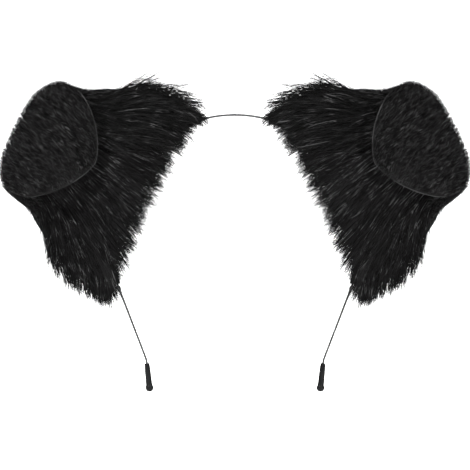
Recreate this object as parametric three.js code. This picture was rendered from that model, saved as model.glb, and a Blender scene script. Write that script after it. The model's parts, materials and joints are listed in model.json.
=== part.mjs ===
// Animal ears headband: a lacquered spring-wire hoop with a cap on each end and two plush ears
// with folded tips. Millimetres, +Z up. The origin is the underside of the wire at the crown, the
// ears spread along X, and the front of the headband looks along -Y.

import * as THREE from "three";
import { mergeVertices } from "three/addons/utils/BufferGeometryUtils.js";

const LEFT = -1;
const RIGHT = 1;
const degrees = THREE.MathUtils.degToRad;

// Wire hoop: one round arc, straight legs, and a small outward bend into each cap.
const WIRE_RADIUS = 0.6;
const BAND_RADIUS = 65;
const BAND_CENTRE_Z = WIRE_RADIUS - BAND_RADIUS;
const LEG_LEAN = degrees(21);
const ARC_END = degrees(90) + LEG_LEAN;
const LEG_LENGTH = 40;
const END_LEAN = degrees(6);
const END_BEND_RADIUS = 12;
const WIRE_IN_CAP = 7.4;
const WIRE_SIDES = 8;

// The legs flex about these two places beside the crown. The real wire bends there as one piece.
const FLEX_ANGLE = degrees(8);
const FLEX_GAP = 0.5;

// Push-on cap on each wire end.
const CAP_LENGTH = 14.8;
const CAP_BORE_RADIUS = 0.95;
const CAP_BORE_DEPTH = 8;
const CAP_MOUTH_RADIUS = 1.3;
const CAP_BODY_RADIUS = 1.6;
const CAP_BALL_RADIUS = 2.1;

// Each ear stands on the arc, on an axis that leans this far from the vertical.
const EAR_LEAN = degrees(63.5);
const BASE_HALF_ANGLE = degrees(47);
const SLEEVE_RADIUS = 2.2;
const SLEEVE_BORE_RADIUS = 0.95;
const BINDING_ANGLE = degrees(48.8);
const BINDING_CORD_RADIUS = 0.45;
const CLEARANCE = 0.4;

// Distances up the ear's axis are measured from the centre of the band's arc.
const BEND_HEIGHT = 70;
const ROLL_HEIGHT = 118;
const BEND_LIMIT = degrees(15);
const BEND_HALF_WIDTH = 51;
const TIP_HALF_WIDTH = 33;
const OUTLINE_POWER = 1.4;
// Every layer of an ear is divided into the same number of columns, so layers that meet line up.
const EAR_COLUMNS = 12;
// The tip's corners are set back by this much at CORNER_WIDTH, and by at most FULL_SETBACK times it.
const CORNER_SETBACK = 12;
const CORNER_WIDTH = 30;
const FULL_SETBACK = 1.35;

// The ear is cupped: its middle stands back, and its sides curl forward.
const CUP_DEPTH = 6.5;
const SIDE_CURL = 4;

// Layers, as the distance of each face behind the ear's middle surface.
const BACK_CLOTH = { back: 3.6, front: 1.5 };
const FOAM = { back: 0.9, front: -0.9 };
const FRONT_CLOTH = { back: -1.5, front: -3.1 };
const LOWER_BACK_CLOTH = { back: 3.4, front: 0.25 };
const LOWER_FRONT_CLOTH = { back: -0.25, front: -3.1 };
const PILE_BACK = -3.5;
const PILE_DEPTH = 7;
const PILE_DEPTH_UNDER_TIP = 3;
const PILE_TOP_HEIGHT = 107;
const PILE_BOTTOM_HEIGHT = 50;
const PILE_HALF_WIDTH = 54;
const PILE_BOTTOM_HALF_WIDTH = 47;

// The folded tip: the layers roll over forwards and end in an egg-shaped flap.
const ROLL_RADIUS = 6;
const ROLL_TOP_Y = 0.5;
const FLAP_TIP = { height: 82.3, y: -10 };
const FLAP_CROWN = { height: 100, y: -20 };
const FLAP_HALF_WIDTH = 31;
const FLAP_WIDEST = 0.4;
const FLAP_CLOTH_END = 0.965;
const FLAP_POWER = 0.75;
const ROW_CROWDING = 1.3;
const RIM_ALLOWANCE = 1.6;
const RIM_ANGLE = degrees(162);
const RIM_CORD_RADIUS = 0.6;
const TACK = { across: 20, height: 112.5, radius: 0.5, frontY: -7.6, backY: -3.0 };

const lacqueredWire = new THREE.MeshStandardMaterial({ color: 0x1b1b1c, roughness: 0.4, metalness: 0.6 });
const glossCap = new THREE.MeshStandardMaterial({ color: 0x101011, roughness: 0.2, metalness: 0 });
const shortPlush = new THREE.MeshStandardMaterial({ color: 0x1e1e1f, roughness: 0.95, metalness: 0 });
const longPile = new THREE.MeshStandardMaterial({ color: 0x151516, roughness: 0.85, metalness: 0 });
const backingCloth = new THREE.MeshStandardMaterial({ color: 0x101011, roughness: 0.98, metalness: 0 });
const paleFoam = new THREE.MeshStandardMaterial({ color: 0x2c2c2e, roughness: 1, metalness: 0 });
const edgeBinding = new THREE.MeshStandardMaterial({ color: 0x3a3a3b, roughness: 0.8, metalness: 0 });
const sewingThread = new THREE.MeshStandardMaterial({ color: 0x141415, roughness: 0.6, metalness: 0 });

function part(name, geometry, material) {
  const mesh = new THREE.Mesh(geometry, material);
  mesh.name = name;
  return mesh;
}

function sideName(side) {
  return side === LEFT ? "left" : "right";
}

// An arc in the XZ plane. Its angles are measured from +Z towards +X.
class PlanarArc extends THREE.Curve {
  constructor(centre, radius, fromAngle, toAngle) {
    super();
    this.centre = centre;
    this.radius = radius;
    this.fromAngle = fromAngle;
    this.toAngle = toAngle;
  }

  getPoint(t) {
    const angle = THREE.MathUtils.lerp(this.fromAngle, this.toAngle, t);
    const out = new THREE.Vector3(Math.sin(angle), 0, Math.cos(angle));
    return out.multiplyScalar(this.radius).add(this.centre);
  }
}

function roundSection(radius, sides) {
  const corners = [];
  for (let i = 0; i < sides; i += 1) {
    const angle = (2 * Math.PI * i) / sides;
    corners.push(new THREE.Vector2(radius * Math.cos(angle), radius * Math.sin(angle)));
  }
  return corners;
}

function tube(path, radius, sides, steps, boreRadius = 0) {
  const section = new THREE.Shape(roundSection(radius, sides));
  if (boreRadius > 0) {
    section.holes.push(new THREE.Path(roundSection(boreRadius, sides)));
  }
  return new THREE.ExtrudeGeometry(section, { steps, extrudePath: path, bevelEnabled: false });
}

// A thin closed solid. place(u, v, w) gives a point for u and v from 0 to 1 over the sheet, and for
// w 0 on its back face and 1 on its front face.
function slab(columns, rows, place) {
  const box = new THREE.BoxGeometry(1, 1, 1, columns, rows, 1);
  box.deleteAttribute("normal");
  box.deleteAttribute("uv");
  const geometry = mergeVertices(box);
  const positions = geometry.attributes.position;
  for (let i = 0; i < positions.count; i += 1) {
    const [u, v, w] = [positions.getX(i) + 0.5, positions.getY(i) + 0.5, positions.getZ(i) + 0.5];
    const point = place(u, v, w);
    positions.setXYZ(i, point.x, point.y, point.z);
  }
  return geometry;
}

function legDirection(side, lean) {
  return new THREE.Vector3(-side * Math.sin(lean), 0, -Math.cos(lean));
}

function outwardOfLeg(side, lean) {
  return new THREE.Vector3(side * Math.cos(lean), 0, -Math.sin(lean));
}

// From beside the crown round the arc, down the leg, through the end bend and into the cap.
function legPath(side) {
  const startAngle = FLEX_ANGLE + FLEX_GAP / 2 / BAND_RADIUS;
  const bandCentre = new THREE.Vector3(0, 0, BAND_CENTRE_Z);
  const arc = new PlanarArc(bandCentre, BAND_RADIUS, side * startAngle, side * ARC_END);
  const kneeStart = arc.getPoint(1).addScaledVector(legDirection(side, LEG_LEAN), LEG_LENGTH);
  const bendCentre = kneeStart.clone().addScaledVector(outwardOfLeg(side, LEG_LEAN), END_BEND_RADIUS);
  const square = Math.PI / 2;
  const bend = new PlanarArc(
    bendCentre,
    END_BEND_RADIUS,
    -side * (square - LEG_LEAN),
    -side * (square - END_LEAN),
  );
  const mouth = bend.getPoint(1);
  const end = mouth.clone().addScaledVector(legDirection(side, END_LEAN), WIRE_IN_CAP);
  const path = new THREE.CurvePath();
  path.add(arc);
  path.add(new THREE.LineCurve3(arc.getPoint(1), kneeStart));
  path.add(bend);
  path.add(new THREE.LineCurve3(mouth, end));
  return { path, mouth };
}

function crownWire() {
  const halfAngle = FLEX_ANGLE - FLEX_GAP / 2 / BAND_RADIUS;
  const bandCentre = new THREE.Vector3(0, 0, BAND_CENTRE_Z);
  const arc = new PlanarArc(bandCentre, BAND_RADIUS, -halfAngle, halfAngle);
  return part("wire_crown", tube(arc, WIRE_RADIUS, WIRE_SIDES, 8), lacqueredWire);
}

function legWire(side) {
  const wire = tube(legPath(side).path, WIRE_RADIUS, WIRE_SIDES, 52);
  return part(`wire_${sideName(side)}`, wire, lacqueredWire);
}

// The cap's section, from the bottom of its bore, out of its mouth, down to its ball end.
function capProfile() {
  const profile = new THREE.Path();
  const ballCentre = CAP_BALL_RADIUS - CAP_LENGTH;
  const waist = ballCentre + 0.8 * CAP_BALL_RADIUS;
  profile.moveTo(0, -CAP_BORE_DEPTH);
  profile.lineTo(CAP_BORE_RADIUS, -CAP_BORE_DEPTH);
  profile.lineTo(CAP_BORE_RADIUS, 0);
  profile.lineTo(CAP_MOUTH_RADIUS, 0);
  profile.lineTo(CAP_BODY_RADIUS, waist + 3);
  profile.lineTo(CAP_BODY_RADIUS, waist);
  profile.absarc(0, ballCentre, CAP_BALL_RADIUS, degrees(40), degrees(-90), true);
  const points = profile.getPoints(8);
  points[points.length - 1].x = 0;
  return points;
}

function endCap(side) {
  const lathe = new THREE.LatheGeometry(capProfile().reverse(), 14);
  lathe.rotateX(Math.PI / 2);
  const cap = part(`tip_cap_${sideName(side)}`, lathe, glossCap);
  cap.position.copy(legPath(side).mouth);
  cap.rotation.y = side * END_LEAN;
  return cap;
}

// From here on, shapes are in an ear's own frame: X across the ear, Z up its axis from the centre of
// the band's arc, and -Y to the front.

// How far up the unfolded part a height is, from 0 at the bend line to 1 at the roll.
function share(height) {
  return (height - BEND_HEIGHT) / (ROLL_HEIGHT - BEND_HEIGHT);
}

function earHalfWidth(height) {
  const below = Math.max(0, 1 - share(height)) ** OUTLINE_POWER;
  return TIP_HALF_WIDTH + (BEND_HALF_WIDTH - TIP_HALF_WIDTH) * below;
}

function middleY(x, height) {
  const up = share(height);
  const swell = Math.sin(Math.PI * up);
  const edge = (x / earHalfWidth(height)) ** 2;
  return CUP_DEPTH * swell + ROLL_TOP_Y * up - SIDE_CURL * swell * edge;
}

function cornerSetback(x) {
  const corner = (x / CORNER_WIDTH) ** 4;
  return CORNER_SETBACK * corner * (1 + (corner / FULL_SETBACK) ** 6) ** (-1 / 6);
}

// A point above the bend line, offset backwards from the ear's middle surface.
function earPoint(x, height, offset) {
  const setback = cornerSetback(x) * share(height) ** 2;
  return new THREE.Vector3(x, middleY(x, height) + offset, height - setback);
}

// Layers start high enough above the bend line for the ear to bend without touching its base.
function upperStart(thickness) {
  return BEND_HEIGHT + thickness * Math.tan(BEND_LIMIT) + CLEARANCE / 2;
}

function upperLayer(layer) {
  const start = upperStart(Math.max(Math.abs(layer.back), Math.abs(layer.front)));
  return slab(EAR_COLUMNS, 5, (u, v, w) => {
    const height = THREE.MathUtils.lerp(start, ROLL_HEIGHT - 0.3, v);
    const x = (2 * u - 1) * earHalfWidth(height);
    return earPoint(x, height, THREE.MathUtils.lerp(layer.back, layer.front, w));
  });
}

// A crescent layer between the sleeve on the wire and the bend line.
function lowerLayer(layer) {
  const innerRadius = BAND_RADIUS + SLEEVE_RADIUS + CLEARANCE;
  return slab(12, 1, (u, v, w) => {
    const x = (2 * u - 1) * BEND_HALF_WIDTH;
    const base = Math.sqrt(innerRadius ** 2 - x ** 2);
    const height = THREE.MathUtils.lerp(base, BEND_HEIGHT - CLEARANCE / 2, v);
    return new THREE.Vector3(x, THREE.MathUtils.lerp(layer.back, layer.front, w), height);
  });
}

function lowerPile() {
  return slab(6, 2, (u, v, w) => {
    const x = (2 * u - 1) * THREE.MathUtils.lerp(PILE_BOTTOM_HALF_WIDTH, PILE_HALF_WIDTH, v);
    const height = THREE.MathUtils.lerp(PILE_BOTTOM_HEIGHT, BEND_HEIGHT - CLEARANCE / 2, v);
    return new THREE.Vector3(x, PILE_BACK - PILE_DEPTH * w, height);
  });
}

function upperPile() {
  const start = upperStart(PILE_DEPTH - PILE_BACK);
  return slab(EAR_COLUMNS, 4, (u, v, w) => {
    const height = THREE.MathUtils.lerp(start, PILE_TOP_HEIGHT, v);
    const x = (2 * u - 1) * earHalfWidth(height);
    const depth = THREE.MathUtils.lerp(PILE_DEPTH, PILE_DEPTH_UNDER_TIP, v);
    return earPoint(x, height, PILE_BACK - depth * w);
  });
}

// The middle line of the folded tip, as height and depth: half a turn, then the domed flap.
function flapPath() {
  const path = new THREE.Path();
  path.absarc(ROLL_HEIGHT, ROLL_TOP_Y - ROLL_RADIUS, ROLL_RADIUS, Math.PI / 2, -Math.PI / 2, true);
  path.quadraticCurveTo(FLAP_CROWN.height, FLAP_CROWN.y, FLAP_TIP.height, FLAP_TIP.y);
  return path;
}

const FLAP_PATH = flapPath();

// The flap leaves the roll as wide as the ear, so their layers meet corner to corner.
function flapHalfWidth(along) {
  const before = Math.max(0, 1 - along / FLAP_WIDEST);
  const past = Math.max(0, (along - FLAP_WIDEST) / (1 - FLAP_WIDEST));
  const atRoll = TIP_HALF_WIDTH + RIM_ALLOWANCE - FLAP_HALF_WIDTH;
  return FLAP_HALF_WIDTH * (1 - past ** 2) ** FLAP_POWER + atRoll * before ** 2;
}

// A point on the folded tip, offset from its middle surface. Positive offsets are outside the roll.
function flapPoint(x, along, offset) {
  const middle = FLAP_PATH.getPointAt(along);
  const tangent = FLAP_PATH.getTangentAt(along);
  const setback = cornerSetback(x) * (1 - along) ** 2;
  const height = middle.x - tangent.y * offset - setback;
  return new THREE.Vector3(x, middle.y + tangent.x * offset, height);
}

function flapLayer(layer) {
  return slab(EAR_COLUMNS, 10, (u, v, w) => {
    const along = FLAP_CLOTH_END * v ** ROW_CROWDING;
    const x = (2 * u - 1) * (flapHalfWidth(along) - RIM_ALLOWANCE);
    return flapPoint(x, along, THREE.MathUtils.lerp(layer.back, layer.front, w));
  });
}

// The free edge of the flap, round its tip from just below one corner of the roll to the other.
class FlapEdge extends THREE.Curve {
  getPoint(t) {
    const angle = (t - 0.5) * RIM_ANGLE;
    const along = FLAP_WIDEST + (1 - FLAP_WIDEST) * Math.cos(angle);
    const x = Math.sign(angle) * flapHalfWidth(along);
    return flapPoint(x, Math.min(1, along), 0);
  }
}

function sleeve() {
  const arc = new PlanarArc(new THREE.Vector3(), BAND_RADIUS, -BASE_HALF_ANGLE, BASE_HALF_ANGLE);
  return tube(arc, SLEEVE_RADIUS, 8, 18, SLEEVE_BORE_RADIUS);
}

// A turn of binding thread round the wire at one end of the sleeve.
function endBinding(name, angle) {
  const ringRadius = SLEEVE_BORE_RADIUS + BINDING_CORD_RADIUS;
  const ring = new THREE.TorusGeometry(ringRadius, BINDING_CORD_RADIUS, 6, 14);
  const binding = part(name, ring, sewingThread);
  const place = new PlanarArc(new THREE.Vector3(), BAND_RADIUS, angle, angle).getPoint(0);
  binding.position.copy(place);
  binding.rotation.y = angle + Math.PI / 2;
  return binding;
}

function tack(name, x) {
  const bar = new THREE.CylinderGeometry(TACK.radius, TACK.radius, TACK.backY - TACK.frontY, 8);
  const thread = part(name, bar, sewingThread);
  thread.position.set(x, (TACK.backY + TACK.frontY) / 2, TACK.height);
  return thread;
}

// Across the ear, its upper end is on the crown side of the headband.
function ear(side) {
  const name = sideName(side);
  const group = new THREE.Group();
  group.add(
    part(`base_sleeve_${name}`, sleeve(), backingCloth),
    endBinding(`end_binding_upper_${name}`, -side * BINDING_ANGLE),
    endBinding(`end_binding_lower_${name}`, side * BINDING_ANGLE),
    part(`back_plush_lower_${name}`, lowerLayer(LOWER_BACK_CLOTH), shortPlush),
    part(`front_cloth_lower_${name}`, lowerLayer(LOWER_FRONT_CLOTH), backingCloth),
    part(`long_pile_lower_${name}`, lowerPile(), longPile),
    part(`back_plush_${name}`, upperLayer(BACK_CLOTH), shortPlush),
    part(`foam_sheet_${name}`, upperLayer(FOAM), paleFoam),
    part(`front_cloth_${name}`, upperLayer(FRONT_CLOTH), backingCloth),
    part(`long_pile_${name}`, upperPile(), longPile),
    part(`flap_plush_${name}`, flapLayer(BACK_CLOTH), shortPlush),
    part(`flap_foam_${name}`, flapLayer(FOAM), paleFoam),
    part(`flap_lining_${name}`, flapLayer(FRONT_CLOTH), backingCloth),
    part(`flap_edge_binding_${name}`, tube(new FlapEdge(), RIM_CORD_RADIUS, 6, 30), edgeBinding),
    tack(`flap_tack_upper_${name}`, -side * TACK.across),
    tack(`flap_tack_lower_${name}`, side * TACK.across),
  );
  group.position.z = BAND_CENTRE_Z;
  group.rotation.y = side * EAR_LEAN;
  return group;
}

const headband = new THREE.Group();
headband.name = "animal_ears_headband";
headband.add(crownWire());
for (const side of [LEFT, RIGHT]) {
  headband.add(legWire(side), endCap(side), ear(side));
}

export default headband;
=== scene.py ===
# %% [markdown]
# # Animal ears headband
# A thin spring wire carries two plush ears. Their round tips are rolled forward, so the short plush
# of the back shows on the front as a disc, and the long pile of the front streams out from behind
# it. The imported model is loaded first. It gives the joints that bend the headband, the wire's
# thickness, and the box that the floor and camera are set by.

# %% Load the frame
import json
import math

import bpy
import numpy as np
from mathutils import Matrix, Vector


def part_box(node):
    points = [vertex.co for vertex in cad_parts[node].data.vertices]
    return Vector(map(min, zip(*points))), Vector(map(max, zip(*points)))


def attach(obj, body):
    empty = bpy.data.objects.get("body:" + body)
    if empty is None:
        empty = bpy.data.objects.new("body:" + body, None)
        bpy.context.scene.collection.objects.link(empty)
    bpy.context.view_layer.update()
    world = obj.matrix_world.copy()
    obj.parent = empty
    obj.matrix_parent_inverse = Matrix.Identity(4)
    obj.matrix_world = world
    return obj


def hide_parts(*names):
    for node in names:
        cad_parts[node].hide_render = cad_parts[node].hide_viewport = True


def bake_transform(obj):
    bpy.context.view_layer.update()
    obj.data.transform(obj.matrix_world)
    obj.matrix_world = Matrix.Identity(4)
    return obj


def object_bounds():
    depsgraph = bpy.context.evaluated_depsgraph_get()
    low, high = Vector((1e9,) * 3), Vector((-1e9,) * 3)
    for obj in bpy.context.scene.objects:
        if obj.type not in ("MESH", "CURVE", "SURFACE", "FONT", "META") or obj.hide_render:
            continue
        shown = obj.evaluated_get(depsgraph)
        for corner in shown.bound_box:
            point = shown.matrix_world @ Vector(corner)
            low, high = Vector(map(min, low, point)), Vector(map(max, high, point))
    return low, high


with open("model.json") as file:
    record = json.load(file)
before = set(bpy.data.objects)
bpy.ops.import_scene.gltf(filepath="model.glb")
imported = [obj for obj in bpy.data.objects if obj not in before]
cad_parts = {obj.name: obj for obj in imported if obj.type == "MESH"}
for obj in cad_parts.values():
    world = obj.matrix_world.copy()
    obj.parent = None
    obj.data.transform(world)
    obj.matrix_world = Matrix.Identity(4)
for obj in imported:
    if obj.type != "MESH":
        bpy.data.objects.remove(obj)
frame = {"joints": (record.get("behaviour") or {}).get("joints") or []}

cad_low, cad_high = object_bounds()
joints = {joint["name"]: joint for joint in frame["joints"]}

# %% [markdown]
# ## Camera, floor and light
# A product like this is shot square on with a long lens, so that both ears keep their true shape.
# The floor runs up into a wall in one sweep, and large soft lights stand in front, above and behind.
# Black fibre only shows where it catches a light, so the lights are wide and the fibres do the rest.

# %% Camera
VIEW_DISTANCE = 1.7
VIEW_MARGIN = 1.001
VIEW_ABOVE_CAPS = 0.0812
view_centre = Vector((0, 0, cad_low.z + VIEW_ABOVE_CAPS))
camera_data = bpy.data.cameras.new("camera")
camera_data.lens = camera_data.sensor_width * VIEW_DISTANCE / ((cad_high.x - cad_low.x) * VIEW_MARGIN)
camera = bpy.data.objects.new("camera", camera_data)
camera.location = (view_centre.x, -VIEW_DISTANCE, view_centre.z)
camera.rotation_euler = (math.radians(90), 0, 0)
bpy.context.scene.collection.objects.link(camera)
bpy.context.scene.camera = camera
print("lens", round(camera_data.lens, 1), "mm")

# %% Mesh helpers
def mesh_object(name, points, faces, smooth=True):
    """A new mesh object from arrays of points in metres and of faces."""
    mesh = bpy.data.meshes.new(name)
    mesh.from_pydata([tuple(p) for p in points], [], [tuple(int(i) for i in f) for f in faces])
    mesh.validate()
    mesh.update()
    if smooth:
        mesh.polygons.foreach_set("use_smooth", [True] * len(mesh.polygons))
    made = bpy.data.objects.new(name, mesh)
    bpy.context.scene.collection.objects.link(made)
    return made


def grid_faces(rows, columns, offset=0):
    """Quads between neighbouring points of a grid, row by row."""
    corner = offset + (np.arange(rows - 1)[:, None] * columns + np.arange(columns - 1)).ravel()
    return np.stack([corner, corner + 1, corner + columns + 1, corner + columns], axis=1)


def weld_seams(piece):
    """Joins the points that lie on each other where a turned surface closes."""
    weld = piece.modifiers.new("weld", "WELD")
    weld.merge_threshold = 0.00001


# %% Shader helper
class Value:
    """A number or colour inside a finish, which ordinary arithmetic works on."""

    def __init__(self, finish, socket):
        self.finish, self.socket = finish, socket

    def maths(self, operation, first, second):
        return self.finish.node("ShaderNodeMath", {"operation": operation}, {0: first, 1: second})

    def __add__(self, other):
        return self.maths("ADD", self, other)

    def __sub__(self, other):
        return self.maths("SUBTRACT", self, other)

    def __rsub__(self, other):
        return self.maths("SUBTRACT", other, self)

    def __mul__(self, other):
        return self.maths("MULTIPLY", self, other)

    def clip(self):
        return self.finish.node("ShaderNodeClamp", {}, {"Value": self})

    __radd__ = __add__
    __rmul__ = __mul__


class Finish:
    """One material, made node by node around a Principled shader."""

    def __init__(self, name, **constants):
        self.material = bpy.data.materials.new(name)
        self.material.use_nodes = True
        self.tree = self.material.node_tree
        self.shader = self.tree.nodes["Principled BSDF"]
        for socket, value in constants.items():
            self.shader.inputs[socket.replace("_", " ")].default_value = value

    def node(self, kind, settings, sockets, output=0):
        made = self.tree.nodes.new(kind)
        for name, value in settings.items():
            setattr(made, name, value)
        self.fill(made, sockets)
        return Value(self, made.outputs[output])

    def fill(self, node, sockets):
        for name, value in sockets.items():
            if isinstance(value, Value):
                self.tree.links.new(value.socket, node.inputs[name])
            else:
                node.inputs[name].default_value = value

    def noise(self, scale, detail=2, roughness=0.5, vector=None):
        sockets = {"Scale": scale, "Detail": detail, "Roughness": roughness}
        sockets["Vector"] = vector or self.node("ShaderNodeTexCoord", {}, {}, "Object")
        return self.node("ShaderNodeTexNoise", {}, sockets)

    def attribute(self, name):
        return self.node("ShaderNodeAttribute", {"attribute_name": name}, {}, "Fac")

    def colour(self, factor, low, high):
        """A colour between low and high, each of them three numbers or a Value."""
        low, high = (end if isinstance(end, Value) else (*end, 1) for end in (low, high))
        sockets = {"Factor": factor, 6: low, 7: high}
        return self.node("ShaderNodeMix", {"data_type": "RGBA", "clamp_factor": True}, sockets, 2)

    def bump(self, height, strength, distance):
        sockets = {"Height": height, "Strength": strength, "Distance": distance}
        return self.node("ShaderNodeBump", {}, sockets)

    def surface(self, **sockets):
        self.fill(self.shader, {name.replace("_", " "): value for name, value in sockets.items()})
        return self.material


# %% Floor sweep and lights
FLOOR_GAP = 0.0004
SWEEP_FRONT = -3.0
SWEEP_BACK = 1.6
SWEEP_RADIUS = 0.8
SWEEP_HALF_WIDTH = 3.2


def sweep_finish():
    finish = Finish("pale_sweep", Roughness=0.9, Specular_IOR_Level=0.1)
    tone = finish.noise(3, 3)
    colour = finish.colour(tone, (0.90, 0.90, 0.90), (0.93, 0.93, 0.93))
    return finish.surface(Base_Color=colour, Emission_Color=colour, Emission_Strength=1.0)


def floor_sweep():
    floor_z = cad_low.z - FLOOR_GAP
    line = [(SWEEP_FRONT, floor_z), (SWEEP_BACK, floor_z)]
    for step in range(1, 17):
        angle = step / 16 * math.pi / 2
        rise = 1 - math.cos(angle)
        line.append((SWEEP_BACK + SWEEP_RADIUS * math.sin(angle), floor_z + SWEEP_RADIUS * rise))
    line.append((SWEEP_BACK + SWEEP_RADIUS, floor_z + 3.5))
    points = [(x, y, z) for y, z in line for x in (-SWEEP_HALF_WIDTH, SWEEP_HALF_WIDTH)]
    sweep = mesh_object("floor_sweep", points, grid_faces(len(line), 2))
    sweep.data.materials.append(sweep_finish())


def soft_light(name, place, size, power):
    light = bpy.data.lights.new(name, "AREA")
    light.shape, light.size, light.energy = "DISK", size, power
    lamp = bpy.data.objects.new(name, light)
    lamp.location = place
    lamp.rotation_euler = (view_centre - Vector(place)).to_track_quat("-Z", "Y").to_euler()
    bpy.context.scene.collection.objects.link(lamp)


floor_sweep()
soft_light("key", (-0.8, -1.1, 1.1), 0.5, 44)
soft_light("fill", (0.9, -1.3, 0.6), 0.6, 24)
soft_light("top", (-0.1, -0.1, 1.3), 0.7, 26)
soft_light("rear", (0.3, 1.2, 0.8), 0.9, 14)
world = bpy.data.worlds.new("studio")
world.use_nodes = True
world.node_tree.nodes["Background"].inputs["Color"].default_value = (1, 1, 1, 1)
world.node_tree.nodes["Background"].inputs["Strength"].default_value = 0.12
bpy.context.scene.world = world
bpy.context.scene.view_settings.view_transform = "Standard"

# %% [markdown]
# ## The wire and its caps
# The hoop is one length of hard-drawn spring wire: an arc, two straight legs and a small outward
# bend above each cap. Each half is a tube along that line. The real wire has some give all along its
# length.

# %% Wire line
MM = 0.001
BAND_RADIUS = 65.0
LEG_LEAN = math.radians(21)
LEG_LENGTH = 40.0
END_LEAN = math.radians(6)
END_BEND_RADIUS = 12.0
WIRE_IN_CAP = 7.4
wire_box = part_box("wire_crown")
WIRE_RADIUS = (wire_box[1][1] - wire_box[0][1]) / 2 / MM
BAND_CENTRE_Z = WIRE_RADIUS - BAND_RADIUS
SIDES = {"left": -1, "right": 1}


def wire_line():
    """The right half of the wire's middle line in millimetres, from the crown down, and the mouth."""
    arc_end = math.pi / 2 + LEG_LEAN
    angles = np.linspace(0, arc_end, 90)
    arc = np.stack([BAND_RADIUS * np.sin(angles), BAND_CENTRE_Z + BAND_RADIUS * np.cos(angles)], 1)
    leg = np.array([-math.sin(LEG_LEAN), -math.cos(LEG_LEAN)])
    knee = arc[-1] + leg * LEG_LENGTH
    bend_centre = knee + END_BEND_RADIUS * np.array([math.cos(LEG_LEAN), -math.sin(LEG_LEAN)])
    leans = np.linspace(LEG_LEAN, END_LEAN, 9)[1:]
    bend = bend_centre - END_BEND_RADIUS * np.stack([np.cos(leans), -np.sin(leans)], 1)
    down = np.array([-math.sin(END_LEAN), -math.cos(END_LEAN)])
    straight = arc[-1] + leg * LEG_LENGTH * np.linspace(0.1, 1, 10)[:, None]
    end = bend[-1] + down * WIRE_IN_CAP * np.linspace(0.25, 1, 4)[:, None]
    return np.concatenate([arc, straight, bend, end]), bend[-1]


def rings_along(line, radii, sides, normal):
    """Rings of points round a line, square to it. normal is a direction that the line never takes."""
    tangent = np.gradient(line, axis=0)
    tangent /= np.linalg.norm(tangent, axis=1, keepdims=True)
    across = np.cross(tangent, normal)
    across /= np.linalg.norm(across, axis=1, keepdims=True)
    up = np.cross(across, tangent)
    angles = np.linspace(0, 2 * math.pi, sides, endpoint=False)
    round_it = (np.cos(angles)[None, :, None] * across[:, None]
                + np.sin(angles)[None, :, None] * up[:, None])
    return line[:, None] + round_it * np.asarray(radii)[:, None, None]


def closed_tube(line, radii, sides, normal=(0, 1, 0)):
    """Points and faces of a tube with capped ends."""
    rings = rings_along(line, radii, sides, np.array(normal, float))
    count = len(line)
    faces = []
    for i in range(count - 1):
        for j in range(sides):
            k = (j + 1) % sides
            faces.append((i * sides + j, (i + 1) * sides + j, (i + 1) * sides + k, i * sides + k))
    points = np.concatenate([rings.reshape(-1, 3), line[:1], line[-1:]])
    first, last = count * sides, count * sides + 1
    for j in range(sides):
        k = (j + 1) % sides
        faces.append((first, j, k))
        faces.append((last, (count - 1) * sides + k, (count - 1) * sides + j))
    return points, faces


def wire_finish():
    finish = Finish("lacquered_wire", Coat_Roughness=0.12, Specular_IOR_Level=0.4)
    draw = finish.noise(2200, 3)
    wear = finish.noise(160, 4, 0.6)
    colour = finish.colour((wear - 0.52) * 6, (0.010, 0.010, 0.011), (0.034, 0.034, 0.036))
    return finish.surface(
        Base_Color=colour, Roughness=0.28 + draw * 0.16, Coat_Weight=0.25,
        Metallic=0.1, Normal=finish.bump(draw, 0.25, 0.00003))


# %% Wire halves
WIRE_SIDES = 16
line_mm, mouth_mm = wire_line()
wire_material = wire_finish()
for side_name, side in SIDES.items():
    line = np.stack([side * line_mm[:, 0], 0 * line_mm[:, 0], line_mm[:, 1]], 1) * MM
    points, faces = closed_tube(line, np.full(len(line), WIRE_RADIUS * MM), WIRE_SIDES)
    wire = mesh_object(f"spring_wire_{side_name}", points, faces)
    wire.data.materials.append(wire_material)
    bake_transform(wire)
    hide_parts(f"wire_{side_name}", *(["wire_crown"] if side == 1 else []))
print("wire", len(line), "rings, radius", round(WIRE_RADIUS, 3), "mm")

# %% [markdown]
# The caps are dipped plastic: a thin lip at the mouth, a slim neck and a ball that keeps the wire
# from scratching. A turned profile with many sides makes each one.

# %% End caps
CAP_LENGTH = 14.8
CAP_PROFILE = [
    (0.0, -8.0), (0.95, -8.0), (0.95, -0.15), (1.02, 0.0), (1.2, 0.03), (1.34, -0.1), (1.36, -0.4),
    (1.38, -0.9), (1.44, -1.8), (1.56, -4.5), (1.62, -7.5), (1.66, -9.6), (1.68, -10.4),
]
CAP_BALL_RADIUS = 2.1
CAP_SIDES = 40


def cap_finish():
    finish = Finish("gloss_cap", Specular_IOR_Level=0.04, Coat_Roughness=0.05)
    ripple = finish.noise(700, 2)
    smear = finish.noise(260, 3)
    colour = finish.colour(smear, (0.003, 0.003, 0.003), (0.008, 0.008, 0.0085))
    return finish.surface(
        Base_Color=colour, Roughness=0.25 + smear * 0.14, Coat_Weight=0.03,
        Normal=finish.bump(ripple, 0.12, 0.00005))


def cap_section():
    ball_z = CAP_BALL_RADIUS - CAP_LENGTH
    angles = np.radians(np.linspace(38, -90, 14))
    ball = [(CAP_BALL_RADIUS * math.cos(a), ball_z + CAP_BALL_RADIUS * math.sin(a)) for a in angles]
    return np.array(CAP_PROFILE + ball[:-1] + [(0.0, -CAP_LENGTH)])


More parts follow.
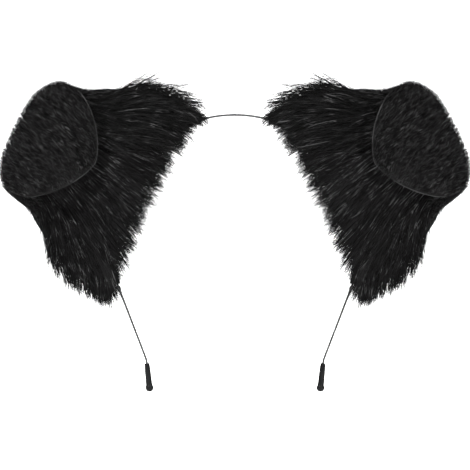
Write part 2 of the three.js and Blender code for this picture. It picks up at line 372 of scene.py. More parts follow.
def cap_points(section, side):
    """The section turned round its axis, leaned with the wire's end and set at its mouth."""
    turns = np.linspace(0, 2 * math.pi, CAP_SIDES, endpoint=False)
    local = np.stack([np.outer(section[:, 0], np.cos(turns)), np.outer(section[:, 0], np.sin(turns)),
                      np.repeat(section[:, 1:], CAP_SIDES, 1)], 2)
    lean = side * END_LEAN
    turned = local.copy()
    turned[..., 0] = local[..., 0] * math.cos(lean) + local[..., 2] * math.sin(lean)
    turned[..., 2] = -local[..., 0] * math.sin(lean) + local[..., 2] * math.cos(lean)
    turned += np.array([side * mouth_mm[0], 0, mouth_mm[1]])
    return np.concatenate([turned, turned[:, :1]], axis=1).reshape(-1, 3) * MM


cap_material = cap_finish()
section = cap_section()
outward_faces = [face[::-1] for face in grid_faces(len(section), CAP_SIDES + 1)]
for side_name, side in SIDES.items():
    cap = mesh_object(f"end_cap_{side_name}", cap_points(section, side), outward_faces)
    weld_seams(cap)
    cap.data.materials.append(cap_material)
    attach(cap, f"leg_{side_name}")
    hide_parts(f"tip_cap_{side_name}")
print("caps", CAP_LENGTH, "mm long")

# %% [markdown]
# ## The shape of an ear
# Each ear is a flat bag of cloth on the wire, with a foam sheet in it. It is drawn in its own
# frame: across the ear, back, and up its axis from the middle of the hoop. A second coordinate,
# the run, follows the cloth from the bend line up the ear, over the roll and down the flap.

# %% Ear surface
EAR_LEAN = math.radians(63.5)
BEND_HEIGHT = 70.0
ROLL_HEIGHT = 118.0
BEND_HALF_WIDTH = 51.0
TIP_HALF_WIDTH = 34.5
FLAP_HALF_WIDTH = 31.0
OUTLINE_POWER = 1.15
TIP_SHIFT = -1.0
FLAP_SHIFT = -2.6
CORNER_WIDTH = 30.0
CORNER_SETBACK = 12.0
FULL_SETBACK = 1.35
CUP_DEPTH = 6.5
SIDE_CURL = 4.0
ROLL_RADIUS = 6.2
ROLL_TOP_Y = 0.5
FLAP_TIP = np.array([82.3, -10.0])
FLAP_CROWN = np.array([100.0, -20.0])
FLAP_WIDEST = 0.4
EAR_RUN = ROLL_HEIGHT - BEND_HEIGHT


def flap_line():
    """Height and depth of the rolled tip's middle line, and the run at each of its points."""
    turn = np.linspace(math.pi / 2, -math.pi / 2, 40)
    roll = np.stack([ROLL_HEIGHT + ROLL_RADIUS * np.cos(turn),
                     ROLL_TOP_Y - ROLL_RADIUS + ROLL_RADIUS * np.sin(turn)], 1)
    t = np.linspace(0, 1, 60)[1:, None]
    dome = roll[-1] * (1 - t) ** 2 + FLAP_CROWN * 2 * t * (1 - t) + FLAP_TIP * t ** 2
    line = np.concatenate([roll, dome])
    steps = np.linalg.norm(np.diff(line, axis=0), axis=1)
    return line, EAR_RUN + np.concatenate([[0], np.cumsum(steps)])


FLAP_LINE, FLAP_RUNS = flap_line()
FLAP_END = FLAP_RUNS[-1]


def flap_share(run):
    return np.clip((run - EAR_RUN) / (FLAP_END - EAR_RUN), 0, 1)


def half_width(run):
    below = np.clip(1 - run / EAR_RUN, 0, 1) ** OUTLINE_POWER
    ear = TIP_HALF_WIDTH + (BEND_HALF_WIDTH - TIP_HALF_WIDTH) * below
    past = np.clip((flap_share(run) - FLAP_WIDEST) / (1 - FLAP_WIDEST), 0, 1)
    narrowing = TIP_HALF_WIDTH + (FLAP_HALF_WIDTH - TIP_HALF_WIDTH) * np.clip((run - EAR_RUN) / 12, 0, 1)
    return np.where(run < EAR_RUN, ear, narrowing * np.clip(1 - past ** 2, 0, 1) ** 0.75)


def middle(across, run):
    """Points of the ear's middle surface, as (across, back, up)."""
    up = np.clip(run / EAR_RUN, 0, 1)
    swell = np.sin(math.pi * up)
    edge = np.clip(np.abs(across) / half_width(np.minimum(run, EAR_RUN)), 0, 1.15) ** 2
    ear_y = CUP_DEPTH * swell + ROLL_TOP_Y * up - SIDE_CURL * swell * edge
    corner = (across / CORNER_WIDTH) ** 4
    setback = CORNER_SETBACK * corner * (1 + (corner / FULL_SETBACK) ** 6) ** (-1 / 6)
    height = np.where(run < EAR_RUN, BEND_HEIGHT + run, np.interp(run, FLAP_RUNS, FLAP_LINE[:, 0]))
    depth = np.where(run < EAR_RUN, ear_y, np.interp(run, FLAP_RUNS, FLAP_LINE[:, 1]))
    fade = np.where(run < EAR_RUN, up ** 2, (1 - flap_share(run)) ** 2)
    shifted = across + TIP_SHIFT * up ** 2 + FLAP_SHIFT * flap_share(run)
    return np.stack([shifted, depth, height - setback * fade], -1)


def outward(across, run, step=0.2):
    """The direction from the middle surface to the ear's back, which is the outside of the roll."""
    along = middle(across, run + step) - middle(across, run - step)
    sideways = middle(across + step, run) - middle(across - step, run)
    normal = np.cross(along, sideways)
    return normal / np.linalg.norm(normal, axis=-1, keepdims=True)


def to_frame(points, side):
    """From an ear's own frame in millimetres to the headband's in metres."""
    points = np.asarray(points)
    across, back, up = points[..., 0], points[..., 1], points[..., 2]
    cos_lean, sin_lean = math.cos(EAR_LEAN), math.sin(EAR_LEAN)
    x = side * (across * cos_lean + up * sin_lean)
    z = BAND_CENTRE_Z + up * cos_lean - across * sin_lean
    return np.stack([x, back, z], -1) * MM


bend_joint = joints["ear_right_bend"]
bend_error = to_frame(np.array([0, 0, BEND_HEIGHT]), 1) - np.array(bend_joint["pos_m"])
print("bend line is off the joint by", np.round(np.linalg.norm(bend_error) * 1000, 3), "mm")
BLEND_BELOW = 3.0
BLEND_ABOVE = 9.0


def fit_to_ear(piece, side_name, bends=True):
    """Lets a piece move with its ear. With bends set, its placement is baked into its mesh instead, and
    the ends of the bend are worked out but not used.
    """
    side = SIDES[side_name]
    if bends:
        low = to_frame(np.array([0, 0, BEND_HEIGHT - BLEND_BELOW]), side)
        high = to_frame(np.array([0, 0, BEND_HEIGHT + BLEND_ABOVE]), side)
        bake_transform(piece)
    else:
        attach(piece, f"ear_{side_name}")


# %% [markdown]
# ## Cloth
# The plush of the back is one sheet from the wire up the back, over the roll and down the disc.
# The backing of the long pile is its partner on the inside. Both are lofted on the same grid, a
# little apart, and they meet along the side seams. Solidify gives each the thickness of a cloth.

# %% Cloth sheets
BAG_HALF_THICKNESS = 1.6
CLOTH_THICKNESS = 0.8
BASE_REACH = 66.6
CLOTH_COLUMNS = 45
BASE_ROWS = 8
EAR_ROWS = 22
FLAP_ROWS = 44


def base_run(across):
    """The run at which the cloth meets the wire's casing."""
    inside = np.clip(BASE_REACH ** 2 - across ** 2, 0, None)
    return np.sqrt(inside) - BEND_HEIGHT


def cloth_grid():
    """Across and run for each point of the cloth, rows from the base to the rim of the flap."""
    u = np.linspace(-1, 1, CLOTH_COLUMNS)
    rows = []
    for share in np.linspace(0, 1, BASE_ROWS, endpoint=False):
        across = u * BEND_HALF_WIDTH
        rows.append((across, base_run(across) * (1 - share)))
    upper = np.linspace(0, EAR_RUN, EAR_ROWS, endpoint=False)
    turn = np.linspace(0, math.pi / 2, FLAP_ROWS)
    for run in (*upper, *(EAR_RUN + (FLAP_END - EAR_RUN) * 0.995 * np.sin(turn))):
        across = u * np.maximum(half_width(np.array(run)), 0.6)
        rows.append((across, np.full_like(u, run)))
    return u, np.array([r[0] for r in rows]), np.array([r[1] for r in rows])


def bag_offset(u, run):
    """How far each cloth stands off the middle surface: they come together at the seams."""
    side_close = np.sqrt(np.clip(1 - np.abs(u) ** 6, 0, 1))
    rim_close = np.sqrt(np.clip(1 - flap_share(run) ** 14, 0, 1))
    return BAG_HALF_THICKNESS * side_close * rim_close


def cloth_points(sign):
    u, across, run = cloth_grid()
    offset = sign * np.maximum(bag_offset(u[None], run), 0.05)
    return middle(across, run) + outward(across, run) * offset[..., None]


def plush_cloth_finish():
    finish = Finish("short_plush_cloth", Specular_IOR_Level=0.1)
    tuft = finish.noise(1500, 3, 0.6)
    shade = finish.noise(90, 3)
    colour = finish.colour(tuft * 0.7 + shade * 0.5, (0.002, 0.002, 0.002), (0.009, 0.009, 0.009))
    return finish.surface(
        Base_Color=colour, Roughness=0.82 + tuft * 0.15, Normal=finish.bump(tuft, 0.8, 0.0004))


def knit_finish():
    finish = Finish("knitted_backing", Specular_IOR_Level=0.1)
    place = finish.node("ShaderNodeTexCoord", {}, {}, "Object")
    loops = {"Scale": 620, "Distortion": 1.2, "Detail": 1, "Vector": place}
    wale = finish.node("ShaderNodeTexWave", {"bands_direction": "X"}, loops, 1)
    course = finish.node("ShaderNodeTexWave", {"bands_direction": "Z"}, loops, 1)
    colour = finish.colour(wale * course, (0.002, 0.002, 0.002), (0.007, 0.007, 0.007))
    return finish.surface(
        Base_Color=colour, Roughness=0.9 + wale * 0.08,
        Normal=finish.bump(wale * course, 0.5, 0.0002))


def foam_finish():
    finish = Finish("foam_sheet", Sheen_Weight=0.05)
    place = finish.node("ShaderNodeTexCoord", {}, {}, "Object")
    pores = finish.node("ShaderNodeTexVoronoi", {}, {"Scale": 1400, "Vector": place})
    colour = finish.colour(pores, (0.012, 0.012, 0.013), (0.050, 0.050, 0.052))
    return finish.surface(
        Base_Color=colour, Roughness=0.88 + pores * 0.1, Normal=finish.bump(pores, 0.6, 0.0002))


def cut_pattern():
    """The flat cut of one ear's cloth, before it is sewn: its width, length and area in metres."""
    across = np.linspace(-BEND_HALF_WIDTH, BEND_HALF_WIDTH, 401)
    foot = np.trapz(-base_run(across), across)
    run = np.linspace(0, FLAP_END, 801)
    body = np.trapz(2 * half_width(run), run)
    length = FLAP_END - base_run(np.array(BEND_HALF_WIDTH))
    return 2 * BEND_HALF_WIDTH * MM, float(length) * MM, float(foot + body) * MM * MM


def thicken(piece, thickness, offset):
    solidify = piece.modifiers.new("thickness", "SOLIDIFY")
    solidify.thickness, solidify.offset = thickness * MM, offset
    solidify.use_even_offset = False


def sheet_faces(rows, columns, flipped):
    faces = grid_faces(rows, columns)
    return faces[:, ::-1] if flipped else faces


plush_cloth, knit, foam_material = plush_cloth_finish(), knit_finish(), foam_finish()
for side_name, side in SIDES.items():
    for kind, sign, material in (("back", 1, plush_cloth), ("front", -1, knit)):
        grid = cloth_points(sign)
        faces = sheet_faces(*grid.shape[:2], flipped=(side * sign > 0))
        name = "plush_cover" if kind == "back" else "pile_backing"
        cloth = mesh_object(f"{name}_{side_name}", to_frame(grid, side).reshape(-1, 3), faces)
        cloth.data.materials.append(material)
        thicken(cloth, CLOTH_THICKNESS, -1)
        fit_to_ear(cloth, side_name)
    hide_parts(f"back_plush_{side_name}",
                f"back_plush_lower_{side_name}", f"flap_plush_{side_name}")
    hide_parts(f"front_cloth_{side_name}",
                f"front_cloth_lower_{side_name}", f"flap_lining_{side_name}")

# %% Foam core
FOAM_THICKNESS = 1.2
FOAM_INSET = 3.0
for side_name, side in SIDES.items():
    u = np.linspace(-1, 1, 21)
    runs = np.linspace(3, FLAP_END - 3.5, 52)
    widths = np.maximum(half_width(runs) - FOAM_INSET, 1.0)
    across = u[None] * widths[:, None]
    grid = middle(across, np.repeat(runs[:, None], len(u), 1))
    foam = mesh_object(f"foam_core_{side_name}", to_frame(grid, side).reshape(-1, 3),
                       sheet_faces(*grid.shape[:2], flipped=side > 0))
    foam.data.materials.append(foam_material)
    thicken(foam, FOAM_THICKNESS, 0)
    fit_to_ear(foam, side_name)
    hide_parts(f"foam_sheet_{side_name}", f"flap_foam_{side_name}")
print("foam core", FOAM_THICKNESS, "mm")

# %% [markdown]
# ## Fibres
# Real pile is tens of thousands of fine fibres. Each is a slim three-sided tube that narrows to a
# point, so that the outline of the fur is real geometry. The places come from an even sequence,
# and seeded draws vary the fibres, so every run grows the same coat. Each fibre carries its share
# of the way to the tip and a tone of its own, which the finish reads. The finish paints shade that
# darkens each fibre towards its root, and painted glints on the fibres of the highest tones.

# %% Fibre meshes
def even_places(count):
    """Evenly spread pairs from 0 to 1."""
    steps = np.arange(1, count + 1)[:, None]
    return (0.5 + steps * np.array([0.7548776662, 0.5698402910])) % 1


def fibre_object(name, paths, root_radius, tones, side, tip_share=0.42):
    """One mesh of many fibres. paths holds each fibre's points, from root to tip, in millimetres."""
    count, length = paths.shape[:2]
    chord = paths[:, -1] - paths[:, 0]
    chord /= np.linalg.norm(chord, axis=1, keepdims=True)
    across = np.cross(chord, [0.31, 0.52, 0.79])
    across /= np.linalg.norm(across, axis=1, keepdims=True)
    up = np.cross(chord, across)
    share = np.linspace(0, 1, length)[:-1]
    radius = root_radius[:, None] * (1 - (1 - tip_share) * share[None] ** 1.5)
    corners = np.radians([90, 210, 330])
    ring = (np.cos(corners)[None, :, None] * across[:, None]
            + np.sin(corners)[None, :, None] * up[:, None])
    rings = paths[:, :-1, None] + ring[:, None] * radius[:, :, None, None]
    points = np.concatenate([rings.reshape(count, -1, 3), paths[:, -1:]], axis=1)
    each = points.shape[1]
    faces = [(0, 2, 1)]
    for i in range(length - 2):
        for j in range(3):
            k = (j + 1) % 3
            low, high = i * 3, (i + 1) * 3
            faces += [(low + j, low + k, high + k), (low + j, high + k, high + j)]
    tip = (length - 2) * 3
    faces += [(tip + j, tip + (j + 1) % 3, each - 1) for j in range(3)]
    faces = np.array(faces)
    if side < 0:
        faces = faces[:, ::-1]
    all_faces = (faces[None] + np.arange(count)[:, None, None] * each).reshape(-1, 3)
    mesh = bpy.data.meshes.new(name)
    mesh.vertices.add(count * each)
    mesh.vertices.foreach_set("co", to_frame(points, side).astype(np.float32).ravel())
    mesh.loops.add(all_faces.size)
    mesh.loops.foreach_set("vertex_index", all_faces.astype(np.int32).ravel())
    mesh.polygons.add(len(all_faces))
    mesh.polygons.foreach_set("loop_start", np.arange(0, all_faces.size, 3, dtype=np.int32))
    mesh.update(calc_edges=True)
    mesh.polygons.foreach_set("use_smooth", [True] * len(all_faces))
    along = np.append(np.repeat(share, 3), 1.0)
    stored = {"fibre_share": np.tile(along, count), "fibre_tone": np.repeat(tones, each)}
    for title, values in stored.items():
        attribute = mesh.attributes.new(title, "FLOAT", "POINT")
        attribute.data.foreach_set("value", values.astype(np.float32))
    made = bpy.data.objects.new(name, mesh)
    bpy.context.scene.collection.objects.link(made)
    return made


def fibre_finish(name, root, tip, glint_colour, roughness, **constants):
    """Fibres with painted shade that darkens them towards the root, and painted glints on a few of them.
    """
    finish = Finish(name, **constants)
    share, tone = finish.attribute("fibre_share"), finish.attribute("fibre_tone")
    # Painted shade: each fibre darkens towards its root, where the fibres crowd together. Its tone also
    # varies it at random.
    body = finish.colour(share * (0.05 + tone * tone * 2.2), root, tip)
    # Painted glints: short patches of a paler colour on the fibres whose tone is above 0.9, fading
    # towards the root.
    glint_patches = (finish.noise(170, 2) - 0.46) * 7
    painted_glint = ((tone - 0.9) * 10).clip() * (0.04 + share) * glint_patches.clip()
    colour = finish.colour(painted_glint, body, glint_colour)
    scales = finish.noise(5200, 2)
    return finish.surface(
        Base_Color=colour, Roughness=roughness + tone * 0.12, Normal=finish.bump(scales, 0.2, 0.00002))


# In each finish the first colour is the near-black root of the painted shade, the second the tip, and
# the third the painted glint.
long_finish = fibre_finish(
    "long_pile_fibre", (0.0002, 0.0002, 0.0002), (0.0115, 0.0115, 0.0115), (0.13, 0.13, 0.13), 0.3,
    Specular_IOR_Level=0.04)
short_finish = fibre_finish(
    "short_plush_fibre", (0.0003, 0.0003, 0.0003), (0.03, 0.03, 0.03), (0.08, 0.08, 0.08), 0.5,
    Specular_IOR_Level=0.03)

# %% [markdown]
# ### Long pile
# The long pile leaves the backing behind the flap and combs towards the wire: along the crown at
# the upper end, across the wire in the middle and down at the lower end. It overhangs the wire by
# a finger's width. Groups of fibres lean together into locks, as fur does after handling.

# %% Tufts
FIBRES_IN_TUFT = 4
TUFT_SLIMNESS = 1.7


def tufted(typical, tufts, spread, rng):
    """The typical value with a shift that a whole tuft shares, and a smaller one for each fibre."""
    shared = rng.normal(0, spread, tufts.max() + 1)
    return typical + shared[tufts] + rng.normal(0, spread * 0.35, len(tufts))


def tuft_numbers(count):
    """Which tuft each fibre belongs to, so that the fibres of a tuft are neighbours."""
    places = even_places(count)
    along = math.ceil(math.sqrt(count / FIBRES_IN_TUFT) / TUFT_SLIMNESS)
    across = math.ceil(along * TUFT_SLIMNESS ** 2)
    return (places[:, 0] * across).astype(int) * along + (places[:, 1] * along).astype(int)


# %% Long pile
LONG_FIBRES = 15000
LONG_POINTS = 6
LOCKS = 1600
PILE_STAND = 6.2
CUFF_RUN = 24
CUFF_SHARE = 0.8
PILE_TOP_RUN = 43
PILE_FOOT_HEIGHT = 38.5
PILE_FOOT_SPREAD = 11.5
PILE_UPPER_REACH = 62
PILE_LOWER_REACH = 60
SHORTEST_PILE = 10
STRAY_SHARE = 0.03
BARE_BASE = 2.0
PILE_LENGTH = 27
PILE_LENGTH_SPREAD = 2.8
FOOT_RAGGEDNESS = 2.2
LOWER_FOOT_DROP = 5.5
LONG_WISP_SHARE = 0.2
LONG_WISP = 6
EDGE_RAGGEDNESS = 2.2
EDGE_TAPER = 0.25
EDGE_TAPER_HEIGHT = 78
SEAM_SHARE = 0.99


def comb_angle(across, height):
    """The pile's lie in degrees. 0 points down the ear's axis, and positive turns to the lower end."""
    high = np.clip((height - 65) / 25, 0, 1)
    low = np.clip((62 - height) / 18, 0, 1)
    upper = 15 + across * (0.62 + 0.85 * high) - 0.006 * across ** 2 * (1 - low) + 14 * low
    lower = 15 + 0.35 * across + 0.012 * across ** 2
    return np.where(across < 0, upper, lower)


def comb(across, run, length, angle, stand, droop):
    """Fibre paths that start on the front of the ear and lie over it."""
    t = np.linspace(0, 1, LONG_POINTS)
    turn = np.radians(angle[:, None] + droop[:, None] * t ** 1.5)
    step = length[:, None] / (LONG_POINTS - 1)
    move_across = np.cumsum(np.sin(turn) * step, axis=1) - np.sin(turn[:, :1]) * step
    move_down = np.cumsum(np.cos(turn) * step, axis=1) - np.cos(turn[:, :1]) * step
    place_across = across[:, None] + move_across
    place_run = run[:, None] - move_down
    base = middle(place_across, place_run)
    rise = stand[:, None] * (1 - np.exp(-3.2 * t)) - 0.4
    base[..., 1] -= BAG_HALF_THICKNESS + rise
    return base


def gather_locks(paths, centres, rng, pull=0.86):
    """Draws the tips of neighbouring fibres together."""
    roots = paths[:, 0][:, [0, 2]]
    nearest = np.empty(len(paths), int)
    for start in range(0, len(paths), 2000):
        part = roots[start:start + 2000]
        nearest[start:start + 2000] = ((part[:, None] - roots[centres][None]) ** 2).sum(-1).argmin(1)
    leader = centres[nearest]
    t = np.linspace(0, 1, paths.shape[1])[None, :, None]
    strength = pull * rng.uniform(0.75, 1.1, (len(paths), 1, 1))
    return paths + (paths[leader] - paths) * strength * t ** 1.3


def pile_length(across, height, angle, stray, rng):
    """Lengths that end the coat along one line past the wire, and a little way outside the seams."""
    count = len(across)
    loose = 1 + stray * rng.uniform(0, 2.2, count)
    wanted = rng.normal(PILE_LENGTH, PILE_LENGTH_SPREAD, count)
    wanted = wanted + stray * rng.uniform(0, LONG_WISP, count)
    down = np.clip(np.cos(np.radians(angle)), 0.35, 1)
    sideways = np.sin(np.radians(angle))
    foot = PILE_FOOT_HEIGHT + PILE_FOOT_SPREAD * (1 - rng.random(count) ** FOOT_RAGGEDNESS)
    foot -= LOWER_FOOT_DROP * np.clip((across + 20) / 30, 0, 1)
    foot -= LONG_WISP * (rng.random(count) < LONG_WISP_SHARE) * rng.random(count)
    to_foot = (height - foot + LONG_WISP * stray * rng.random(count)) / down
    lower_reach = PILE_LOWER_REACH - EDGE_TAPER * np.clip(height - EDGE_TAPER_HEIGHT, 0, None)
    edge = np.where(sideways > 0, lower_reach - across, PILE_UPPER_REACH + across)
    to_edge = (edge + rng.normal(0, EDGE_RAGGEDNESS, count) * loose) / np.clip(np.abs(sideways), 0.15, 1)
    return np.maximum(np.minimum(np.minimum(wanted, to_foot), to_edge), SHORTEST_PILE)


def pile_limit(run):
    """Half the width of the long pile. Beside the folded tip a cuff of short plush bounds it."""
    cuffed = np.clip((run - CUFF_RUN) / 6, 0, 1)
    return half_width(np.maximum(run, 0)) * (SEAM_SHARE - (SEAM_SHARE - CUFF_SHARE) * cuffed)


def long_pile_paths(rng):
    places = even_places(LONG_FIBRES)
    run = base_run(np.array(BEND_HALF_WIDTH)) + places[:, 1] ** 1.1 * (PILE_TOP_RUN + 27)
    across = (2 * places[:, 0] - 1) * pile_limit(run)
    foot = base_run(across) + BARE_BASE
    below = run < foot
    run[below] = foot[below] + rng.uniform(0, 13, below.sum())
    height = BEND_HEIGHT + run
    stray = rng.random(LONG_FIBRES) < STRAY_SHARE
    under = np.clip((run - 10) / 25, 0, 1)
    stand = PILE_STAND * rng.uniform(0.25, 1.0, LONG_FIBRES) * (1 - 0.5 * under)
    angle = comb_angle(across, height) + rng.normal(0, 8, LONG_FIBRES) * (1 + 0.4 * stray)
    droop = 32 * np.clip(-across / 45, 0, 1) ** 2 + rng.normal(0, 9, LONG_FIBRES)
    length = pile_length(across, height, angle + droop * 0.4, stray, rng)
    paths = comb(across, run, length, angle, stand, droop)
    centres = np.arange(LOCKS) * (LONG_FIBRES // LOCKS)
    gathered = gather_locks(paths, centres, rng)
    return np.where(stray[:, None, None], paths, gathered)


rng = np.random.default_rng(11)
long_paths = long_pile_paths(rng)
long_radius = rng.uniform(0.09, 0.155, LONG_FIBRES)
long_tones = tufted(0.42, tuft_numbers(LONG_FIBRES), 0.16, rng) + rng.normal(0, 0.2, LONG_FIBRES)
long_tones = np.clip(long_tones, 0, 0.89)
# These fibres get the highest tones, so the finish paints glints along them. They are also a little
# thicker.
glint_fibres = rng.random(LONG_FIBRES) < 0.12
long_tones[glint_fibres] = rng.uniform(0.92, 1.0, glint_fibres.sum())
long_radius[glint_fibres] *= 1.15
strip = np.digitize(long_paths[:, 0, 0], [-17, 17])
coat = {"left": [], "right": []}
for side_name, side in SIDES.items():
    for zone, number in (("upper", 0), ("middle", 1), ("lower", 2)):
        chosen = strip == number
        pile = fibre_object(f"long_fur_{zone}_{side_name}", long_paths[chosen], long_radius[chosen],
                            long_tones[chosen], side, tip_share=0.62)
        pile.data.materials.append(long_finish)
        fit_to_ear(pile, side_name)
        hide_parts(f"long_pile_{side_name}", f"long_pile_lower_{side_name}")
        coat[side_name].append(pile)
print("long pile", LONG_FIBRES, "fibres an ear")

# %% [markdown]
# ### Short plush
# The outside of the ear is short plush. Its nap runs from the rim of the flap over the roll and
# down the back, so it stands out at the roll and lies flat elsewhere.

# %% Short plush
BACK_FIBRES = 15500
BACK_SPLIT_RUN = 12
FLAP_FIBRES = 11500
CUFF_FIBRES = 4200
PLUSH_POINTS = 4
PLUSH_LENGTH = 3.6
SHORTEST_PLUSH = 0.8
PLUSH_LEAN = 64
ROLL_STAND_UP = 24
PLUSH_SWAY = -22
SEAM_TURN = math.radians(75)


def side_tilt(share_across, run):
    """How far the nap turns outwards at the seams. On the flap it stays combed to the fold."""
    seam = np.abs(share_across) ** 6
    folded = np.clip((run - EAR_RUN) / 16, 0, 1)
    return SEAM_TURN * seam * (1 - folded)


def nap(across, run, length, lean, sway, front=False):
    """Short fibres on the ear that lie towards its base, along its back or round its front."""
    face = -1 if front else 1
    normal = outward(across, run)
    towards_base = middle(across, run - 0.3) - middle(across, run)
    towards_base /= np.linalg.norm(towards_base, axis=1, keepdims=True)
    sideways = np.cross(normal, towards_base)
    sideways *= np.sign(sideways[:, :1] + 1e-9)
    share_across = np.clip(across / half_width(run), -1, 1)
    root = middle(across, run) + face * normal * (bag_offset(share_across, run) - 0.2)[:, None]
    tilt_out = (side_tilt(share_across, run) * np.sign(share_across))[:, None]
    away = face * normal * np.cos(tilt_out) + sideways * np.sin(tilt_out)
    lie = towards_base * np.cos(sway)[:, None] + sideways * np.sin(sway)[:, None]
    t = np.linspace(0, 1, PLUSH_POINTS)[None, :, None]
    tilt = lean[:, None, None] * (0.5 + 0.5 * t)
    return root[:, None] + length[:, None, None] * t * (
        away[:, None] * np.cos(tilt) + lie[:, None] * np.sin(tilt))


def plush_paths(count, low_run, high_run, rng, across_from=-1.0, across_to=1.0, front=False):
    """Paths and tones of the short fibres between two runs and two shares of the ear's width."""
    tufts = tuft_numbers(count)
    places = even_places(count)
    run = low_run + places[:, 1] * (high_run - low_run)
    limit = np.where(run < 0, BEND_HALF_WIDTH, half_width(run))
    keep = rng.random(count) < limit / BEND_HALF_WIDTH * 1.6
    across = (across_from + (across_to - across_from) * places[:, 0]) * limit
    run = np.maximum(run, base_run(across) + 0.4)
    on_roll = np.exp(-((run - EAR_RUN - 8) / 12) ** 2)
    corner = on_roll * np.abs(across / limit) ** 5
    typical = PLUSH_LENGTH + 0.5 * on_roll - 2.4 * corner
    length = np.clip(tufted(typical, tufts, 0.5, rng), SHORTEST_PLUSH, None)
    lean = np.radians(tufted(PLUSH_LEAN - ROLL_STAND_UP * on_roll, tufts, 10, rng))
    sway = np.radians(tufted(PLUSH_SWAY, tufts, 12, rng))
    # Tones above 0.9 get painted glints in the fibre finish.
    tone = np.clip(tufted(0.4, tufts, 0.3, rng), 0, 1)
    return nap(across, run, length, lean, sway, front)[keep], tone[keep]


zones = (
    ("back_low", BACK_FIBRES // 2, -27, BACK_SPLIT_RUN, [(-1, 1)], False),
    ("back_high", BACK_FIBRES // 2, BACK_SPLIT_RUN, EAR_RUN + 4, [(-1, 1)], False),
    ("flap", FLAP_FIBRES, EAR_RUN + 4, FLAP_END - 0.4, [(-1, 1)], False),
    ("cuff", CUFF_FIBRES, CUFF_RUN - 4, EAR_RUN + 2, [(-1, -0.7), (0.7, 1)], True),
)
for zone, count, low_run, high_run, bands, front in zones:
    found = [plush_paths(count // len(bands), low_run, high_run, rng, *band, front) for band in bands]
    paths, tones = (np.concatenate(parts) for parts in zip(*found))
    radius = rng.uniform(0.09, 0.15, len(paths))
    for side_name, side in SIDES.items():
        plush = fibre_object(f"short_plush_{zone}_{side_name}", paths, radius, tones, side)
        plush.data.materials.append(short_finish)
        fit_to_ear(plush, side_name, bends=zone.startswith("back"))
        coat[side_name].append(plush)
    print("short plush", zone, len(paths), "fibres an ear")

cut_width, cut_length, cut_area = cut_pattern()
print("flat cut", [round(v * 1000) for v in (cut_width, cut_length)], "mm,",
      round(cut_area * 1e4, 1), "cm2")

# %% [markdown]
# ## Rim of the flap
# Along its free edge the plush is turned under and the nap parts, so a slightly paler line runs
# round the disc. Its paleness is partly that parted nap and partly painted highlight, where the
# rolled edge catches the light. It is a thin tube along the rim, and its finish is fuzzy. It has no
# fibres.

# %% Rolled edge
RIM_RADIUS = 0.27
RIM_STEPS = 90
RIM_FULLNESS = 1.3


def rim_line():
    angle = np.linspace(-0.5, 0.5, RIM_STEPS) * math.radians(162)
    share = FLAP_WIDEST + (1 - FLAP_WIDEST) * np.cos(angle)
    run = EAR_RUN + share * (FLAP_END - EAR_RUN)
    across = np.sign(angle) * half_width(run)
    return middle(across, np.minimum(run, FLAP_END - 0.01))


def edge_finish():
    finish = Finish("rolled_edge", Specular_IOR_Level=0.2)
    fuzz = finish.noise(1900, 3)
    # Painted highlight along the rolled edge, broken into patches that come and go. The pale colour is
    # partly the parted nap and partly this painted highlight.
    patchy_highlight = ((finish.noise(70, 2) - 0.4) * 4).clip()
    colour = finish.colour(fuzz * patchy_highlight, (0.004, 0.004, 0.004), (0.06, 0.06, 0.06))
    return finish.surface(Base_Color=colour, Roughness=0.8 + fuzz * 0.15,
                          Normal=finish.bump(fuzz, 0.7, 0.0003))


edge_material = edge_finish()
rim = rim_line()
taper = np.sin(np.linspace(0.12, math.pi - 0.12, RIM_STEPS)) ** 0.25
fuller = 1 + RIM_FULLNESS * np.linspace(1, 0, RIM_STEPS) ** 3
for side_name, side in SIDES.items():
    points, faces = closed_tube(rim, RIM_RADIUS * taper * fuller, 10, normal=(0.1, 1, 0.1))
    if side < 0:
        faces = [f[::-1] for f in faces]
    edge = mesh_object(f"rolled_edge_{side_name}", to_frame(points, side), faces)
    edge.data.materials.append(edge_material)
    fit_to_ear(edge, side_name, bends=False)
    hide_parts(f"flap_edge_binding_{side_name}")
print("rolled edge", RIM_STEPS, "steps")

# %% [markdown]
# ## Casing and thread
# Each ear is held on the wire by a narrow cloth casing, with a few turns of thread at each end of
# it. Two short thread bars behind the flap keep the tip folded.

# %% Casing
CASING_RADIUS = 2.2
CASING_BORE_RADIUS = 0.95
CASING_STEPS = 60
CASING_HALF_ANGLE = math.radians(47)
casing_angles = np.linspace(-CASING_HALF_ANGLE, CASING_HALF_ANGLE, CASING_STEPS)
casing_line = BAND_RADIUS * np.stack(
    [np.sin(casing_angles), 0 * casing_angles, np.cos(casing_angles)], 1)


def tube_wall(line, outer, inner, sides):
    """A tube with an open bore, as one closed wall."""
    normal = np.array([0.0, 1.0, 0.0])
    shells = [rings_along(line, outer, sides, normal), rings_along(line, inner, sides, normal)[::-1]]
    rings = np.concatenate(shells)
    rings = np.concatenate([rings, rings[:1]])
    rings = np.concatenate([rings, rings[:, :1]], axis=1)
    return rings.reshape(-1, 3), grid_faces(len(rings), sides + 1)


for side_name, side in SIDES.items():
    ends = 1 - 0.25 * np.abs(np.linspace(-1, 1, CASING_STEPS)) ** 12
    bore = np.full(CASING_STEPS, CASING_BORE_RADIUS)
    points, faces = tube_wall(casing_line, CASING_RADIUS * ends, bore, 18)
    if side > 0:
        faces = faces[:, ::-1]
    casing = mesh_object(f"wire_casing_{side_name}", to_frame(points, side), faces)
    weld_seams(casing)
    casing.data.materials.append(plush_cloth)
    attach(casing, f"leg_{side_name}")
    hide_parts(f"base_sleeve_{side_name}")
print("casing", CASING_STEPS, "steps")

# %% Thread turns and bars
THREAD_RADIUS = 0.22
BINDING_TURNS = 4
BINDING_ANGLE = math.radians(48.8)
BAR_RADIUS = 0.45
BAR_ACROSS = 20
BAR_HEIGHT = 112.5
BAR_FRONT = -8.0
BAR_BACK = -2.4
BAR_WAVE = 0.15


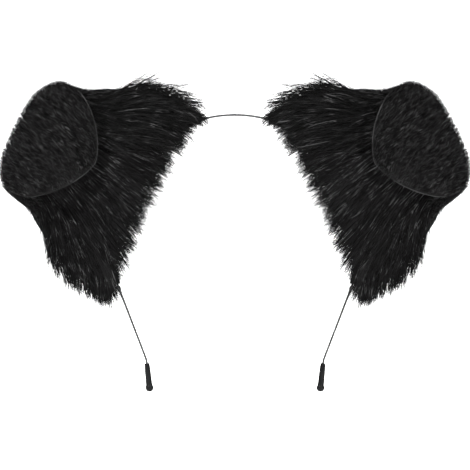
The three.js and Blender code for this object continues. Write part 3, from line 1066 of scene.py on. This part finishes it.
def thread_finish():
    finish = Finish("twisted_thread", Sheen_Weight=0.2)
    place = finish.node("ShaderNodeTexCoord", {}, {}, "Object")
    twist = finish.node("ShaderNodeTexWave", {"bands_direction": "DIAGONAL"},
                        {"Scale": 900, "Detail": 1, "Vector": place}, 1)
    colour = finish.colour(twist, (0.006, 0.006, 0.006), (0.026, 0.026, 0.027))
    return finish.surface(Base_Color=colour, Roughness=0.55 + twist * 0.15,
                          Normal=finish.bump(twist, 0.6, 0.0001))


def binding_line(angle):
    """Turns of thread wound round the wire at one end of the casing."""
    t = np.linspace(0, 1, BINDING_TURNS * 20)
    wound = angle + (t - 0.5) * BINDING_TURNS * 2.1 * THREAD_RADIUS / BAND_RADIUS
    around = t * BINDING_TURNS * 2 * math.pi
    reach = BAND_RADIUS + (WIRE_RADIUS + THREAD_RADIUS + 0.05) * np.cos(around)
    depth = (WIRE_RADIUS + THREAD_RADIUS + 0.05) * np.sin(around)
    return np.stack([reach * np.sin(wound), depth, reach * np.cos(wound)], 1)


def bar_line(sign):
    """A short bar of thread across the inside of the fold, with a slight wave."""
    depth = np.linspace(BAR_FRONT, BAR_BACK, 24)
    wave = depth * 5
    across = sign * BAR_ACROSS + BAR_WAVE * np.sin(wave)
    return np.stack([across, depth, BAR_HEIGHT + BAR_WAVE * np.cos(wave)], 1)


def thread_piece(name, line, side, radius, body, *nodes):
    points, faces = closed_tube(line, np.full(len(line), radius), 8, normal=(0.33, 0.21, 0.92))
    if side < 0:
        faces = [f[::-1] for f in faces]
    thread = mesh_object(name, to_frame(points, side), faces)
    thread.data.materials.append(thread_material)
    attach(thread, body)
    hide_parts(*nodes)


thread_material = thread_finish()
for side_name, side in SIDES.items():
    for end, sign in (("upper", -1), ("lower", 1)):
        thread_piece(f"casing_thread_{end}_{side_name}", binding_line(sign * BINDING_ANGLE), side,
                     THREAD_RADIUS, f"leg_{side_name}", f"end_binding_{end}_{side_name}")
        thread_piece(f"fold_thread_{end}_{side_name}", bar_line(sign), side, BAR_RADIUS,
                     f"ear_{side_name}", f"flap_tack_{end}_{side_name}")
print("thread pieces made")
